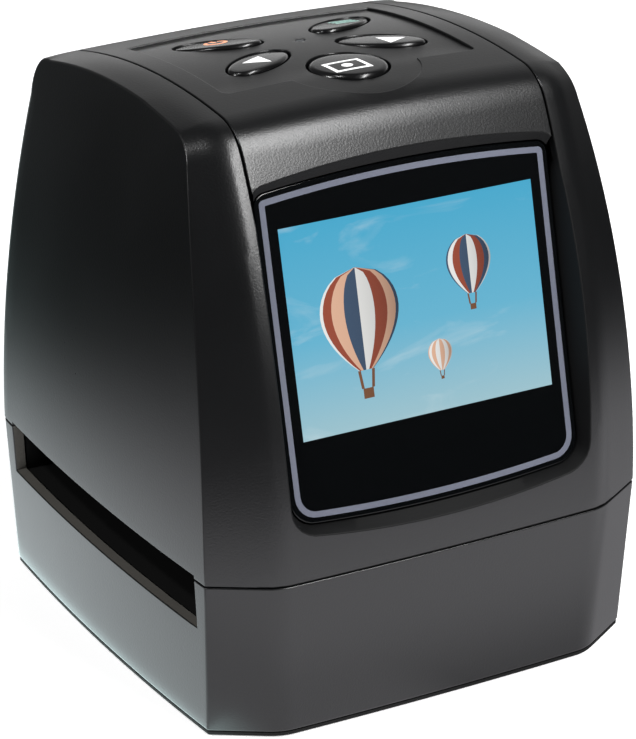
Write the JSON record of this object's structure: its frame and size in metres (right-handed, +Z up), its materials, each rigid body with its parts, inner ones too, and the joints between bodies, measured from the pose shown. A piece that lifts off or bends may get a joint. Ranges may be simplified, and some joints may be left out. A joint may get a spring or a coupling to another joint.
{
  "type": "film negative scanner",
  "caption": "Desktop film negative scanner: wrap-round housing with a film slot through its base, a tilted colour screen, sprung top buttons and a camera over a lit film gate.",
  "frame": {"origin": "on the table under the middle of the body's box", "axes": "+Z up, -Y out of the screen, +X to the right of someone facing the screen; film runs along X"},
  "size_m": [0.09, 0.0886, 0.1063],
  "materials": {
    "shell_plastic": "satin, fine moulded grain",
    "inner_plastic": "matt black",
    "foot_rubber": "matt",
    "screw_steel": "zinc plated",
    "spring_steel": "bright drawn wire",
    "bracket_steel": "plain sheet",
    "diffuser_white": "translucent opal",
    "box_white": "matt white",
    "board_green": "lacquered board",
    "chip_black": "moulded epoxy",
    "sensor_face": "cover glass over silicon",
    "led_lens": "clear resin over phosphor",
    "can_metal": "plain can",
    "port_metal": "bright plated shell",
    "jack_plastic": "yellow moulding",
    "window_black": "clear front with black back print",
    "picture_glass": "lit picture",
    "ribbon_amber": "polyimide film",
    "switch_black": "moulded",
    "plunger_white": "acetal",
    "button_gloss": "glossy dark grey",
    "pipe_clear": "clear moulding",
    "lens_glass": "coated",
    "barrel_black": "matt black"
  },
  "bodies": {
    "root": {"base_shell": "shell_plastic", "upper_shell": "shell_plastic", "top_cover": "shell_plastic", "bottom_plate": "inner_plastic", "rubber_feet": "foot_rubber", "base_screws": "screw_steel", "film_track": "inner_plastic", "film_gate": "inner_plastic", "diffuser": "diffuser_white", "light_box": "box_white", "light_board": "box_white", "light_leds": "led_lens", "light_screws": "screw_steel", "detent_spring_left": "spring_steel", "detent_spring_right": "spring_steel", "camera_tunnel": "inner_plastic", "tunnel_screws": "screw_steel", "lens_barrel": "barrel_black", "front_lens": "lens_glass", "rear_lens": "lens_glass", "sensor_holder": "inner_plastic", "sensor_chip": "sensor_face", "sensor_board": "board_green", "sensor_ribbon": "ribbon_amber", "main_board": "board_green", "main_chips": "chip_black", "board_capacitors": "can_metal", "board_screws": "screw_steel", "card_socket": "port_metal", "usb_socket": "port_metal", "video_jack": "jack_plastic", "screen_window": "window_black", "lcd_panel": "picture_glass", "lcd_bracket": "bracket_steel", "display_board": "board_green", "display_ribbon": "ribbon_amber", "display_screws": "screw_steel", "button_board": "board_green", "button_board_screws": "screw_steel", "button_ribbon": "ribbon_amber", "tact_switches": "switch_black", "indicator_led": "led_lens", "light_pipe": "pipe_clear"},
    "key_power": {"button_power": "button_gloss", "plunger_power": "plunger_white"},
    "key_menu": {"button_menu": "button_gloss", "plunger_menu": "plunger_white"},
    "key_up": {"button_up": "button_gloss", "plunger_up": "plunger_white"},
    "key_down": {"button_down": "button_gloss", "plunger_down": "plunger_white"},
    "key_scan": {"button_scan": "button_gloss", "plunger_scan": "plunger_white"},
    "detent_left": {"detent_plunger_left": "plunger_white"},
    "detent_right": {"detent_plunger_right": "plunger_white"}
  },
  "joints": [
    {"name": "power_press", "type": "slide", "parent": "root", "child": "key_power", "axis": [0, 0, -1], "range_m": [0, 0.0005], "stiffness_N_per_m": 3000},
    {"name": "menu_press", "type": "slide", "parent": "root", "child": "key_menu", "axis": [0, 0, -1], "range_m": [0, 0.0005], "stiffness_N_per_m": 3000},
    {"name": "up_press", "type": "slide", "parent": "root", "child": "key_up", "axis": [0, 0, -1], "range_m": [0, 0.0005], "stiffness_N_per_m": 3000},
    {"name": "down_press", "type": "slide", "parent": "root", "child": "key_down", "axis": [0, 0, -1], "range_m": [0, 0.0005], "stiffness_N_per_m": 3000},
    {"name": "scan_press", "type": "slide", "parent": "root", "child": "key_scan", "axis": [0, 0, -1], "range_m": [0, 0.0005], "stiffness_N_per_m": 3000},
    {"name": "detent_left_press", "type": "slide", "parent": "root", "child": "detent_left", "axis": [0, 0, -1], "range_m": [0, 0.0009], "stiffness_N_per_m": 600, "deforming": ["detent_spring_left"]},
    {"name": "detent_right_press", "type": "slide", "parent": "root", "child": "detent_right", "axis": [0, 0, -1], "range_m": [0, 0.0009], "stiffness_N_per_m": 600, "deforming": ["detent_spring_right"]}
  ]
}
